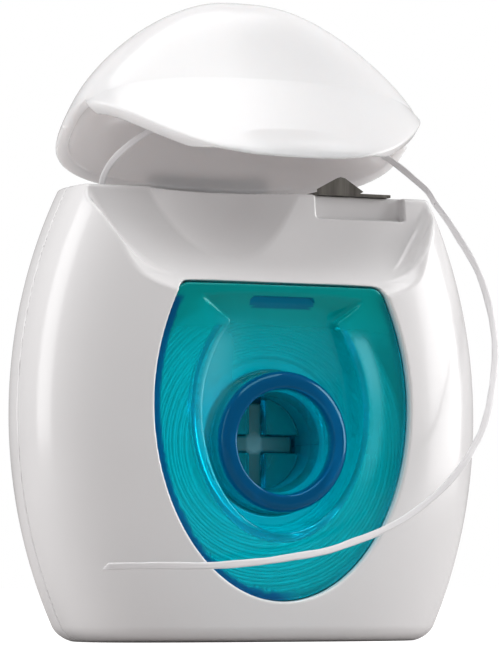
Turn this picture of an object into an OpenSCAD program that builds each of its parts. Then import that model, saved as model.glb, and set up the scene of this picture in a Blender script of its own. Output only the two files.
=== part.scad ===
// Flip-top dispenser for flat waxed dental floss, standing upright with its lid open.
// +X is to the right, +Y to the back, +Z up. The origin is the centre of the base.

/* [Case] */
// Width of the case at its widest level
body_w = 50.8; // [46:0.2:56]
// Depth of the case at its deepest level
body_d = 21; // [20:0.2:25]
// Height of the deck above the base
body_h = 46.4; // [46:0.2:52]
// Height of the widest level
wide_z = 23.4; // [21:0.2:26]
// Radius of the side arcs, seen from the front
side_r = 52; // [46:1:70]
// Radius of the front and rear faces, seen from the side
face_r = 265; // [200:5:500]
// Squareness of the plan outline, 2 is an ellipse
plan_n = 2.8; // [2.4:0.1:3.2]
// Wall thickness of the case
wall = 1.2; // [1:0.1:1.5]
// Rounding of the base edge
base_round = 1.6; // [1:0.1:2]
// Open line between the front and rear shells
seam = 0.1; // [0.05:0.01:0.2]

/* [Recess and scoop] */
// Distance of the deck's front edge from the middle plane
deck_front = 4; // [3.4:0.1:4.5]
// Radius of the hollow floor of the recess
recess_r = 11.9; // [11:0.1:13]
// Depth of the recess outline below the deck
recess_drop = 11.3; // [10.8:0.1:11.8]
// Half width of the recess outline at the deck
recess_half = 20.2; // [19.4:0.1:21]
// Radius of the finger scoop
scoop_r = 14; // [12:0.5:16]
// Height of the scoop's centre above the deck
scoop_rise = 4.4; // [3.8:0.1:5]
// Distance of the scoop's centre in front of the recess
scoop_out = 10.2; // [9.8:0.1:11]
// Place of the scoop across the deck
scoop_x = -4.2; // [-5:0.1:-3]

/* [Lid] */
// Height of the closed lid above the deck
lid_rise = 12.5; // [11.5:0.1:14]
// Fullness of the lid's crown, seen from the front
crown_n = 1.4; // [1.2:0.1:1.8]
// Fullness of the lid's front shoulder
front_n = 5.5; // [3:0.1:6]
// Fullness of the lid's rear shoulder
rear_n = 3.9; // [2:0.1:5]
// Squareness of the lid's plan outline at its crown
crown_plan_n = 3.25; // [2.8:0.05:3.5]
// Lean of the crown toward the front
crown_lean = 0.85; // [0:0.05:1.2]
// Wall thickness of the lid
lid_wall = 1.3; // [1:0.1:1.6]
// Depth of the lip below the lid's rim at the middle
lip_drop = 11.3; // [10.8:0.1:11.4]
// Half width of the lip at the rim
lip_half = 19.45; // [19:0.05:19.6]
// Fullness of the lip's curve
lip_n = 3; // [2.6:0.1:3.4]
// Thickness of the lip's thin edge over the window
lip_thick = 0.3; // [0.3:0.05:0.4]
// Gap between the closed lid and the case
lid_gap = 0.25; // [0.2:0.05:0.4]
// Angle that the lid is open
lid_open = 35; // [0:1:60]
// Width of the living hinge
hinge_w = 14; // [10:1:18]
// Thickness of the hinge's web
hinge_web_t = 0.4; // [0.3:0.05:0.6]
// Length of the web on each side of its fold
hinge_leaf = 1.2; // [0.8:0.1:1.6]
// Distance of the fold behind the case's rear face
fold_out = 0.5; // [0.3:0.1:0.7]
// Height of the fold above the deck
fold_up = 0.8; // [0.6:0.1:1]

/* [Window insert] */
// Half width of the window
window_half = 14.4; // [13.6:0.1:15]
// Height of the window's widest level
window_mid = 24; // [22:0.2:26]
// Height of the window's lowest point
window_low = 4.1; // [3.4:0.1:6]
// Height of the window's top edge
window_top = 36.4; // [35:0.1:36.8]
// Depth of the insert's face below the case's face
insert_sink = 0.7; // [0.7:0.05:0.9]
// Thickness of the insert's wall
insert_t = 1.1; // [0.9:0.1:1.3]
// Gap around the insert
insert_gap = 0.1; // [0.05:0.01:0.15]
// Half width of the dish
dish_half = 9.25; // [8.8:0.05:9.6]
// Height of the dish's lowest point
dish_low = 10.9; // [10:0.1:11.5]
// Height of the dish's top edge
dish_top = 32.5; // [31:0.1:33]
// Depth of the dish's floor below the insert's face
dish_depth = 3.1; // [2.6:0.1:3.2]
// Width of the latch slot in the top bar
latch_w = 7.2; // [6:0.1:8]

/* [Spool and floss] */
// Height of the spool's axis
hub_z = 20.3; // [19.8:0.1:20.8]
// Radius of the hub tube that the spool turns on
hub_r = 7.2; // [7:0.05:7.4]
// Radius of the hub's mouth
mouth_r = 5.4; // [5:0.1:5.7]
// Radius of the hub's bore
bore_r = 4.8; // [4.5:0.1:5]
// Running clearance between hub tube and spool core
hub_gap = 0.06; // [0.03:0.01:0.1]
// Wall thickness of the spool core
core_t = 1.45; // [1.2:0.05:1.6]
// Width of the spool core
spool_w = 12; // [10:0.5:12]
// Outer radius of the wound floss
wound_r = 15.9; // [14.5:0.1:15.9]
// Width of the flat floss
floss_w = 0.7; // [0.6:0.05:0.8]
// Diameter of the thread that shows on the wound face
thread_d = 0.5; // [0.4:0.05:0.55]
// Turns that show on the wound face
turns = 6; // [4:1:6]

/* [Cutter] */
// Width of the cutter's base plate
cutter_w = 8.5; // [7.5:0.1:9]
// Depth of the cutter's base plate
cutter_d = 3; // [3:0.1:4.5]
// Thickness of the steel
steel_t = 0.3; // [0.25:0.05:0.4]
// Left end of the cutter
cutter_x = 6.7; // [6.4:0.1:7]
// Height of the tooth
tooth_h = 1.95; // [1.5:0.05:2.2]
// Width of the tooth
tooth_w = 5.3; // [4.5:0.1:5.5]

/* [Hidden] */
$fn = 56;
around = 40;
far = 60;

half_w0 = body_w / 2;
half_d0 = body_d / 2;
inner_top = body_h - wall;
rim_z = body_h + lid_gap;
front_in = half_d0 - wall;
hinge_y = half_d(body_h) + fold_out;
hinge_z = body_h + fold_up;
hinge_flat_y = half_d(body_h) - 0.5;
hinge_side_gap = 0.1;
dish_floor_y = insert_sink + dish_depth;
dish_mid = window_mid - 0.5;
// Curve of the window's and the dish's upper sides, and the spread of the dish above them
window_k = 0.0203;
dish_k = 0.039;
flare = 1.436;
flare_top = window_top + 0.8;
// Slope of the ramp and one point on it
ramp_slope = 0.68;
ramp_y = -9.9;
ramp_z = window_top - 0.4;
spool_front = -(half_d0 - insert_sink - dish_depth - insert_t) + 0.3;
core_r = hub_r + hub_gap + core_t;
ring_front = -10;
exit_x = -16.2;
exit_r = 0.9;
tube_sides = 8;
post_r = 1.15;
post_gap = 0.08;
socket_r = 2.1;
posts = [[-19.4, 9], [19.4, 9], [-19.4, 36.4], [19.4, 36.4]];
post_reach = 2.6;

// Half width, half depth and base rounding of the case at height z
function half_w(z) = half_w0 - (side_r - sqrt(side_r * side_r - pow(z - wide_z, 2)));
function half_d(z) = half_d0 - (face_r - sqrt(face_r * face_r - pow(z - wide_z, 2)));
function rounding(z) = z >= base_round ? 0
    : base_round - sqrt(base_round * base_round - pow(base_round - z, 2));

// One level of a form: a squared ellipse whose rear half may be deeper than its front half
function level(a, front, rear, z, shift = 0, n = plan_n) = [
    for (i = [0 : around - 1])
        let (t = 360 * (i + 0.5) / around, c = cos(t), s = sin(t))
        [a * sign(c) * pow(abs(c), 2 / n),
         shift + (s < 0 ? front : rear) * sign(s) * pow(abs(s), 2 / n), z]];

// A closed skin through levels that all have the same number of points
module loft(levels) {
    n = len(levels[0]);
    m = len(levels);
    polyhedron(
        points = [for (l = levels) each l],
        faces = concat(
            [[for (i = [0 : n - 1]) i]],
            [[for (i = [n - 1 : -1 : 0]) (m - 1) * n + i]],
            [for (j = [0 : m - 2], i = [0 : n - 1])
                let (k = (i + 1) % n)
                [j * n + i, (j + 1) * n + i, (j + 1) * n + k]],
            [for (j = [0 : m - 2], i = [0 : n - 1])
                let (k = (i + 1) % n)
                [j * n + i, (j + 1) * n + k, j * n + k]]));
}

// The case's form, drawn in by inset, between two heights
base_steps = 4;
case_steps = 12;
function case_heights(inset) = inset == 0
    ? concat([for (i = [0 : base_steps - 1]) base_round * (1 - cos(90 * i / base_steps))],
             [for (i = [0 : case_steps]) base_round + (body_h - base_round) * i / case_steps])
    : [for (i = [0 : case_steps]) inset + (body_h - inset) * i / case_steps];
module case_form(inset = 0) {
    loft([for (z = case_heights(inset))
        level(half_w(z) - rounding(z) - inset, half_d(z) - rounding(z) - inset,
              half_d(z) - rounding(z) - inset, z)]);
}

// Outline of the recess, seen from the front, and the lip that lies in it
function recess_z(x, d) = body_h - (recess_drop + d) * (1 - pow(abs(x) / (recess_half + d), 4));
function lip_z(x) = rim_z - lip_drop * (1 - pow(abs(x) / lip_half, lip_n));
outline_steps = 20;
module recess_outline(d) {
    edge = recess_half + d;
    polygon(concat(
        [for (i = [0 : outline_steps])
            let (x = edge * (2 * i / outline_steps - 1))
            [x, recess_z(x, d)]],
        [[edge, far], [-edge, far]]));
}
// The hollow in the case's top front: a round floor inside that outline, grown by d
module recess(d = 0) {
    intersection() {
        translate([0, -(deck_front + recess_r), body_h]) rotate([0, 90, 0])
            cylinder(h = far, r = recess_r + d, center = true, $fn = 80);
        rotate([90, 0, 0]) linear_extrude(far) recess_outline(d);
    }
}
module scoop(d = 0) {
    translate([scoop_x, -deck_front - scoop_out, body_h + scoop_rise])
        sphere(r = scoop_r + d, $fn = 56);
}
notch_x = 6.3;
notch_w = 10.3;
notch_h = 2.5;
notch_depth = 1.1;
module notch(d = 0) {
    translate([notch_x - d, -deck_front - far + notch_depth + d, body_h - notch_h - d])
        cube([notch_w + 2 * d, far, notch_h + 2 * d + 1]);
}
module top_hollows(d = 0) {
    recess(d);
    scoop(d);
    notch(d);
}

// A pointed-oval outline: a half ellipse below, side arcs above and a straight top
function shield(half, mid, low, top, k, d) =
    let (h = half + d, b = mid - low + d, n = 18)
    concat(
        [for (i = [0 : n]) let (t = 180 + 180 * i / n) [h * cos(t), mid + b * sin(t)]],
        [for (i = [1 : 5]) let (z = (top + d - mid) * i / 5) [h - k * z * z, mid + z]],
        [for (i = [5 : -1 : 1]) let (z = (top + d - mid) * i / 5) [-h + k * z * z, mid + z]]);
module window_outline(d = 0) {
    polygon(shield(window_half, window_mid, window_low, window_top, window_k, d));
}
// The dish's sides spread out again above dish_top, where its floor climbs in a ramp
module dish_outline(d = 0) {
    polygon(shield(dish_half, dish_mid, dish_low, dish_top, dish_k, d));
    near = dish_half - dish_k * pow(dish_top - dish_mid, 2) + d;
    wide = near + flare * (flare_top - dish_top);
    polygon([[-near, dish_top - 1], [near, dish_top - 1], [near, dish_top], [wide, flare_top],
             [-wide, flare_top], [-near, dish_top]]);
}
// Side view of the dish's hollow: everything in front of its floor and its ramp
module dish_depth_profile(d = 0) {
    back = -(half_d0 - dish_floor_y) + d;
    lean = d * sqrt(1 + ramp_slope * ramp_slope);
    foot_z = ramp_z + (ramp_y + lean - back) / ramp_slope;
    rotate([90, 0, 90]) linear_extrude(far, center = true)
        polygon([[-far, 0], [back, 0], [back, foot_z],
                 [ramp_y + lean - ramp_slope * (flare_top - ramp_z), flare_top], [-far, flare_top]]);
}
module dish(d = 0) {
    intersection() {
        front_prism(0) dish_outline(d);
        dish_depth_profile(d);
    }
}
// A prism through the case's front, from the outside in to depth y
module front_prism(y) {
    translate([0, y, 0]) rotate([90, 0, 0]) linear_extrude(far) children();
}

module exit_hole() {
    translate([exit_x, 0, inner_top - 1]) cylinder(h = wall + 2, r = exit_r, $fn = 32);
}

// The hollow of the case, which leaves a wall behind the recess, scoop and notch
module case_cavity() {
    difference() {
        case_form(wall);
        translate([-far / 2, -far / 2, inner_top]) cube([far, far, far]);
        difference() {
            top_hollows(wall);
            translate([-far / 2, -front_in + 0.1, 0]) mirror([0, 1, 0]) cube([far, far, body_h - recess_drop - 3]);
        }
    }
}

module front_half(d = 0) {
    translate([-far / 2, -far - d, -1]) cube([far, far, far]);
}
module rear_half(d = 0) {
    translate([-far / 2, d, -1]) cube([far, far, far]);
}

leg_w = 1.2;
leg_t = steel_t;
leg_len = 2.2;
leg_x = [1.4, 6.2];
leg_y = -deck_front + notch_depth + 1.8;
module cutter_legs(d = 0) {
    for (x = leg_x)
        translate([cutter_x + x - d, leg_y - d, body_h - leg_len - d])
            cube([leg_w + 2 * d, leg_t + 2 * d, leg_len + 2 * d + steel_t / 2]);
}

module front_shell() color("whitesmoke") {
    difference() {
        union() {
            difference() {
                intersection() {
                    case_form();
                    front_half(seam / 2);
                }
                case_cavity();
            }
            // Sockets for the rear shell's posts
            intersection() {
                case_form(wall / 2);
                for (p = posts)
                    translate([p[0], -seam / 2, p[1]]) rotate([90, 0, 0]) cylinder(h = far, r = socket_r);
            }
        }
        top_hollows();
        front_prism(-deck_front) window_outline();
        for (p = posts)
            translate([p[0], 0, p[1]]) rotate([90, 0, 0])
                cylinder(h = post_reach + 0.4, r = post_r + post_gap, $fn = 32);
        exit_hole();
        cutter_legs(0.05);
    }
}

cross_arm = 1.7;
cross_r = 4.3;
cross_tip = -2.2;
thrust_gap = 0.3;
module rear_shell() color("whitesmoke") {
    difference() {
        union() {
            difference() {
                intersection() {
                    case_form();
                    rear_half(seam / 2);
                }
                case_cavity();
            }
            // Posts, cross post and thrust ring stand on the rear wall
            intersection() {
                case_form(wall / 2);
                union() {
                    for (p = posts)
                        translate([p[0], -post_reach, p[1]]) rotate([-90, 0, 0])
                            cylinder(h = far, r = post_r, $fn = 32);
                    thrust_ring();
                    cross_post();
                }
            }
        }
        exit_hole();
        // Flat land that the hinge lies on
        translate([-hinge_w / 2 - hinge_side_gap, hinge_flat_y, body_h - hinge_leaf - 0.1])
            cube([hinge_w + 2 * hinge_side_gap, far, far]);
    }
}
module cross_post() {
    intersection() {
        translate([0, cross_tip, hub_z]) rotate([-90, 0, 0]) cylinder(h = far, r = cross_r);
        translate([0, cross_tip, hub_z]) union() {
            translate([-cross_arm / 2, 0, -cross_r]) cube([cross_arm, far, 2 * cross_r]);
            translate([-cross_r, 0, -cross_arm / 2]) cube([2 * cross_r, far, cross_arm]);
        }
    }
}
module thrust_ring() {
    translate([0, spool_front + spool_w + thrust_gap, hub_z]) rotate([-90, 0, 0]) difference() {
        cylinder(h = far, r = core_r - 0.1);
        translate([0, 0, -1]) cylinder(h = far + 2, r = hub_r + hub_gap);
    }
}

// Profile of the hub, as radius and distance along +Y from the spool's axis
end_wall_y = -3.1;
end_wall_t = 1.3;
hub_end = spool_front + spool_w - 0.5;
mouth_y = ring_front + 0.5;
taper_y = -5.5;
rear_bore_r = 5.2;
module hub_tube() {
    translate([0, 0, hub_z]) rotate([90, 0, 0]) mirror([0, 0, 1]) rotate_extrude()
        polygon([[mouth_r, mouth_y], [mouth_r + 0.5, ring_front], [hub_r - 0.6, ring_front],
                 [hub_r, ring_front + 0.6], [hub_r, hub_end], [rear_bore_r, hub_end],
                 [rear_bore_r, end_wall_y + end_wall_t], [bore_r, end_wall_y + end_wall_t],
                 [bore_r, taper_y]]);
}
// End wall of the hub in four quarters, around the rear shell's cross post
module hub_end_wall() {
    difference() {
        translate([0, end_wall_y, hub_z]) rotate([-90, 0, 0]) cylinder(h = end_wall_t, r = bore_r + 0.2);
        for (a = [0, 90])
            translate([0, 0, hub_z]) rotate([0, a, 0])
                translate([-cross_r - 0.1, -far / 2, -cross_arm / 2 - 0.1])
                cube([2 * cross_r + 0.2, far, cross_arm + 0.2]);
    }
}
module window_insert() color([0, 0.55, 0.6, 0.6]) {
    difference() {
        union() {
            // Rim and walls that follow the case's face
            intersection() {
                difference() {
                    case_form(insert_sink);
                    case_form(insert_sink + insert_t);
                }
                front_prism(-deck_front) window_outline(-insert_gap);
            }
            // Bowl of the dish
            intersection() {
                case_form(insert_sink);
                dish(insert_t);
                front_prism(-deck_front) window_outline(-insert_gap);
            }
        }
        dish();
        // Clear way through the dish's floor for the hub
        translate([0, 0, hub_z]) rotate([90, 0, 0]) cylinder(h = far, r = hub_r - 0.3);
        latch_slot();
        insert_top_cut();
    }
    hub_tube();
    hub_end_wall();
}
latch_z = 34.5;
latch_h = 1.1;
latch_depth = 0.5;
module latch_slot() {
    translate([0, -half_d(latch_z) + insert_sink + latch_depth, latch_z]) rotate([90, 0, 0])
        linear_extrude(far) hull() for (s = [-1, 1])
            translate([s * (latch_w - latch_h) / 2, 0]) circle(d = latch_h, $fn = 24);
}
module insert_top_cut() {
    recess();
}

// The closed lid's form, drawn in by inset
crown_steps = 12;
lip_steps = 4;
lid_low = body_h - lip_drop - 1;
function lid_levels(inset) = let (rise = lid_rise - inset, a = half_w(body_h) - inset,
                                  d = half_d(body_h) - inset)
    concat(
        [for (i = [0 : lip_steps - 1])
            let (z = lid_low + (body_h - lid_low) * i / lip_steps)
            level(half_w(z) - inset, half_d(z) - inset, half_d(z) - inset, z)],
        [for (i = [0 : crown_steps])
            let (k = 0.9985 * sin(90 * i / crown_steps))
            level(a * sqrt(1 - pow(k, crown_n)), d * pow(1 - pow(k, front_n), 1 / front_n),
                  d * pow(1 - pow(k, rear_n), 1 / rear_n), body_h + k * rise,
                  -crown_lean * k * k, plan_n + (crown_plan_n - plan_n) * k)]);
module lid_form(inset = 0) {
    loft(lid_levels(inset));
}
// Everything that lies under the closed lid's edge
module under_lid() {
    rotate([90, 0, 0]) linear_extrude(far) polygon(concat(
        [for (i = [0 : outline_steps])
            let (x = lip_half * (2 * i / outline_steps - 1))
            [x, lip_z(x)]],
        [[far / 2, rim_z], [far / 2, 0], [-far / 2, 0], [-far / 2, rim_z]]));
    translate([-far / 2, -deck_front - 2 * lid_gap, rim_z]) mirror([0, 0, 1]) cube([far, far, far]);
    difference() {
        case_form(lip_thick);
        recess(-lid_gap);
    }
}
module lid_closed() {
    difference() {
        lid_form();
        lid_form(lid_wall);
        under_lid();
        thumb_dent();
        translate([-hinge_w / 2 - hinge_side_gap, hinge_flat_y, body_h])
            cube([hinge_w + 2 * hinge_side_gap, far, hinge_leaf + hinge_z - body_h + 0.1]);
    }
}
// Shallow dent above the lip that a thumb finds
dent_at = [0.8, 37.8];
dent_w = 8.8;
dent_r = 3;
dent_in = 0.12;
module thumb_dent() {
    translate([dent_at[0], -half_d(dent_at[1]) - dent_r + dent_in, dent_at[1]]) rotate([0, 90, 0])
        cylinder(h = dent_w, r = dent_r, center = true);
}
module open_lid(angle) {
    translate([0, hinge_y, hinge_z]) rotate([-angle, 0, 0]) translate([0, -hinge_y, -hinge_z]) children();
}
module lid() color("white") open_lid(lid_open) lid_closed();

// The web that joins the rear shell to the lid: one leaf on each, and the fold between them
leaf_gap = 0.05;
module hinge_web() color("whitesmoke") {
    rotate([90, 0, 90]) linear_extrude(hinge_w, center = true) union() {
        translate([hinge_flat_y + leaf_gap, body_h - hinge_leaf]) square([hinge_web_t, hinge_leaf + 0.2]);
        hull() {
            translate([hinge_flat_y + leaf_gap, body_h]) square([hinge_web_t, 0.2]);
            translate([hinge_y, hinge_z]) circle(d = hinge_web_t, $fn = 16);
        }
        hull() {
            translate([hinge_y, hinge_z]) circle(d = hinge_web_t, $fn = 16);
            translate([hinge_y, hinge_z]) rotate(-lid_open)
                translate([hinge_flat_y + leaf_gap - hinge_y, 0.2]) square([hinge_web_t, 0.2]);
        }
        translate([hinge_y, hinge_z]) rotate(-lid_open)
            translate([hinge_flat_y + leaf_gap - hinge_y, 0.2]) square([hinge_web_t, hinge_leaf - 0.1]);
    }
}

// Cutter: a base plate on the deck, a toothed flange at its front edge and two staked legs
cutter_front = -deck_front + 0.3;
module cutter_blade() color("dimgray") {
    translate([cutter_x, cutter_front, body_h]) cube([cutter_w, cutter_d, steel_t]);
    translate([cutter_x, cutter_front + steel_t, body_h]) rotate([90, 0, 0]) linear_extrude(steel_t)
        polygon([[0, 0], [0, 0.6], [tooth_w * 0.42, tooth_h * 0.92], [tooth_w * 0.5, tooth_h],
                 [tooth_w * 0.6, tooth_h * 0.94], [tooth_w * 0.97, 0.62], [tooth_w, 0.5],
                 [tooth_w * 0.93, steel_t]]);
    cutter_legs();
}

module spool_core() color("white") {
    chamfer = 0.3;
    inner = hub_r + hub_gap;
    translate([0, spool_front, hub_z]) rotate([90, 0, 0]) mirror([0, 0, 1]) rotate_extrude()
        polygon([[inner + chamfer, 0], [core_r - chamfer, 0], [core_r, chamfer],
                 [core_r, spool_w - chamfer], [core_r - chamfer, spool_w],
                 [inner + chamfer, spool_w], [inner, spool_w - chamfer], [inner, chamfer]]);
}

// A tube through points, with rings square to the path; ends may be squared to a given direction
function unit(v) = v / norm(v);
function tangent(p, i) = let (n = len(p)) unit(p[min(i + 1, n - 1)] - p[max(i - 1, 0)]);
function ring(c, t, up, r, sides) = let (u = unit(cross(up, t)), v = cross(t, u))
    [for (k = [0 : sides - 1]) c + r * (cos(360 * k / sides) * u + sin(360 * k / sides) * v)];
// The side direction is carried along the path, so the tube never twists
function carried(p, i, v) = let (t = tangent(p, i)) unit(v - t * (v * t));
function carry_all(p, i, v, out) = i >= len(p) ? out
    : let (w = carried(p, i, v)) carry_all(p, i + 1, w, concat(out, [w]));
module tube(p, r, sides, start) {
    ups = carry_all(p, 0, start, []);
    loft([for (i = [0 : len(p) - 1]) ring(p[i], tangent(p, i), ups[i], r, sides)]);
}
// Smooth curve through the route's points
function spline_point(a, b, c, d, t) = 0.5 * (2 * b + (c - a) * t
    + (2 * a - 5 * b + 4 * c - d) * t * t + (3 * b - a - 3 * c + d) * t * t * t);
function smooth(p, steps) = concat(
    [for (i = [0 : len(p) - 2], s = [0 : steps - 1])
        spline_point(p[max(i - 1, 0)], p[i], p[i + 1], p[min(i + 2, len(p) - 1)], s / steps)],
    [p[len(p) - 1]]);
function path_length(p) = len(p) < 2 ? 0
    : norm(p[1] - p[0]) + path_length([for (i = [1 : len(p) - 1]) p[i]]);

// Winding: a plain drum, and on its face one unbroken thread that spirals outward
first_r = core_r + 0.55;
last_r = wound_r - 0.45;
loop_rings = 24;
thread_sink = 0.1;
spiral = [for (i = [0 : turns * loop_rings])
    let (a = 360 * i / loop_rings, r = first_r + (last_r - first_r) * i / (turns * loop_rings))
    [r * cos(a), spool_front + 0.3 - thread_d / 2 + thread_sink, hub_z + r * sin(a)]];
pitch = (last_r - first_r) / turns;
thread_gap = min([for (i = [loop_rings : len(spiral) - 1])
    norm(spiral[i] - spiral[i - loop_rings])]) - thread_d;
echo(least_gap_between_turns = thread_gap, thread_length = path_length(spiral));
module floss_winding() color("mintcream") {
    difference() {
        translate([0, spool_front + 0.3, hub_z]) rotate([-90, 0, 0]) cylinder(h = spool_w - 0.6, r = wound_r);
        translate([0, spool_front - 1, hub_z]) rotate([-90, 0, 0])
            cylinder(h = spool_w + 2, r = core_r + 0.02);
    }
    tube(spiral, thread_d / 2, 6, [0, 1, 0]);
}

// Routes of the free floss, in millimetres
lead_route = [[-16.3, 0, 20.3], [-16.3, 0, 28], [-16.3, 0, 36], [-16.2, 0, 45.8]];
arch_route = [[-16.2, 0, 45.8], [-16.1, 0, 47.2], [-15.6, -0.3, 48.6], [-14.6, -1, 50], [-12.8, -1.8, 51.6],
    [-10.6, -2.5, 52.8], [-7.6, -3, 54], [-3.3, -3.4, 54.9], [1.8, -3.4, 55.1], [7.3, -3, 54.2],
    [11.6, -2.5, 52.8], [14.9, -2.1, 51.2], [17.2, -2, 49.9], [18.9, -2, 48.7], [20.4, -2.1, 47.5],
    [21.2, -2.3, 46.2]];
tail_route = [[21.2, -2.3, 46.2], [22.3, -3, 44.4], [23.3, -3.8, 42.4], [24.1, -4.7, 40.5], [24.7, -5.6, 38.5],
    [25, -6.5, 36.4], [25.1, -7.4, 34.2], [25, -8.2, 32.2], [24.7, -9, 30.2], [24.1, -9.8, 27.9],
    [23.3, -10.6, 25.6], [22.5, -11.3, 23.6], [21.4, -11.9, 21.5], [20.3, -12.3, 20], [19.2, -12.7, 18.6],
    [16.4, -13.2, 15.8], [12.4, -13.6, 13], [8.7, -13.8, 11.2], [5.5, -13.9, 10.1], [2.5, -14, 9.2],
    [-1.2, -14, 8.6], [-4.9, -13.9, 8.1], [-10.2, -13.6, 7.7], [-15.4, -13.2, 7.7], [-21.1, -12.8, 7.6]];
arch_curve = smooth(arch_route, 2);
tail_curve = smooth(tail_route, 2);
echo(arch_length = path_length(arch_curve), tail_length = path_length(tail_curve));
module floss_lead() color("white") tube(lead_route, floss_w / 2, tube_sides, [0, 1, 0]);
module floss_arch() color("white") tube(arch_curve, floss_w / 2, tube_sides, [0, 1, 0]);
module floss_tail() color("white") tube(tail_curve, floss_w / 2, tube_sides, [0, 1, 0]);

front_shell();
rear_shell();
window_insert();
hinge_web();
lid();
cutter_blade();
spool_core();
floss_winding();
floss_lead();
floss_arch();
floss_tail();
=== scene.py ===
"""Looks of the flip-top floss dispenser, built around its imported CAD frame.

Shapes are worked out in millimetres in the CAD frame (X right, Y back, Z up, origin at the
centre of the base) and turned into metres when a mesh is made. The moulded pieces are
described as distance fields with real fillets and meshed on a fine grid.
"""

import math

import bpy
import numpy as np
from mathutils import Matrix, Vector


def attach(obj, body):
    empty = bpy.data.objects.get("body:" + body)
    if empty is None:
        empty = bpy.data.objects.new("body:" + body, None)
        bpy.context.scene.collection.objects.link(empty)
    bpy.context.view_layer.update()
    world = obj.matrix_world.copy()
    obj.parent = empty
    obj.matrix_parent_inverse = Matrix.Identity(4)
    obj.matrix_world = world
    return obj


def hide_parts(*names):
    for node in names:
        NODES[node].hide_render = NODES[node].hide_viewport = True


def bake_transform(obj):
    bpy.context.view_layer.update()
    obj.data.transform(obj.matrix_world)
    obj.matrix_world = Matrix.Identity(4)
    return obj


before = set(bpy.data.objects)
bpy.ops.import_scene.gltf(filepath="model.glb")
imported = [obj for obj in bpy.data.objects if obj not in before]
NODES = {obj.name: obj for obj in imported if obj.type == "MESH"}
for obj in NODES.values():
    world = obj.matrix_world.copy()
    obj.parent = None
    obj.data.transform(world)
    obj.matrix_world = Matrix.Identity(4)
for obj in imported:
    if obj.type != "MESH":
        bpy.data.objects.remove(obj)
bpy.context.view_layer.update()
MM = 0.001

# ------------------------------------------------------------------ camera
AZIMUTH, DISTANCE = math.radians(-25.0), 390.0
EYE_Z, TARGET_Z = 6.05, 33.0
FRAME_H = 646  # pixels of the image's long side
FOCAL_PX = 3744
CONTENT_LEFT_PX = 4.6

drop = TARGET_Z - EYE_Z
level = math.sqrt(DISTANCE ** 2 - drop ** 2)
cam_data = bpy.data.cameras.new("camera")
cam_data.sensor_width = 36.0
cam_data.lens = 36.0 * FOCAL_PX / FRAME_H
cam_data.shift_x = CONTENT_LEFT_PX / FRAME_H
camera = bpy.data.objects.new("camera", cam_data)
bpy.context.scene.collection.objects.link(camera)
eye = Vector((math.sin(AZIMUTH) * level, -math.cos(AZIMUTH) * level, EYE_Z)) * MM
aim = Vector((0, 0, TARGET_Z)) * MM
camera.location = eye
camera.rotation_mode = "QUATERNION"
camera.rotation_quaternion = (aim - eye).to_track_quat("-Z", "Y")
cam_data.clip_start, cam_data.clip_end = 0.01, 20
bpy.context.scene.camera = camera
SIGHT = np.array((aim - eye).normalized())


# ------------------------------------------------------------------ materials
def new_material(name):
    mat = bpy.data.materials.new(name)
    mat.use_nodes = True
    tree = mat.node_tree
    return mat, tree, tree.nodes["Principled BSDF"]


def node(tree, kind, **values):
    made = tree.nodes.new(kind)
    for key, value in values.items():
        if key in made.inputs:
            made.inputs[key].default_value = value
        else:
            setattr(made, key, value)
    return made


def noise(tree, scale, detail=3.0, stretch=(1, 1, 1)):
    coords = tree.nodes.new("ShaderNodeTexCoord")
    mapping = tree.nodes.new("ShaderNodeMapping")
    mapping.inputs["Scale"].default_value = stretch
    tree.links.new(coords.outputs["Object"], mapping.inputs["Vector"])
    made = node(tree, "ShaderNodeTexNoise", Scale=scale, Detail=detail)
    tree.links.new(mapping.outputs["Vector"], made.inputs["Vector"])
    return made


def ramp(tree, source, stops):
    made = tree.nodes.new("ShaderNodeValToRGB")
    first, last = made.color_ramp.elements
    first.position, first.color = stops[0][0], (*stops[0][1], 1)
    last.position, last.color = stops[-1][0], (*stops[-1][1], 1)
    for place, colour in stops[1:-1]:
        made.color_ramp.elements.new(place).color = (*colour, 1)
    tree.links.new(source, made.inputs["Fac"])
    return made


def blend_colour(tree, amount, first, second):
    """first, a colour output, fades to second, a plain colour, as amount goes from 0 to 1."""
    made = tree.nodes.new("ShaderNodeMixRGB")
    tree.links.new(amount, made.inputs["Fac"])
    tree.links.new(first, made.inputs["Color1"])
    made.inputs["Color2"].default_value = second
    return made


def bump(tree, source, shader, strength, depth_mm):
    made = node(tree, "ShaderNodeBump", Strength=strength, Distance=depth_mm * MM)
    tree.links.new(source, made.inputs["Height"])
    tree.links.new(made.outputs["Normal"], shader.inputs["Normal"])
    return made


def spread(tree, source, low, high):
    made = node(tree, "ShaderNodeMapRange")
    made.inputs["To Min"].default_value = low
    made.inputs["To Max"].default_value = high
    tree.links.new(source, made.inputs["Value"])
    return made.outputs["Result"]


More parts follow.
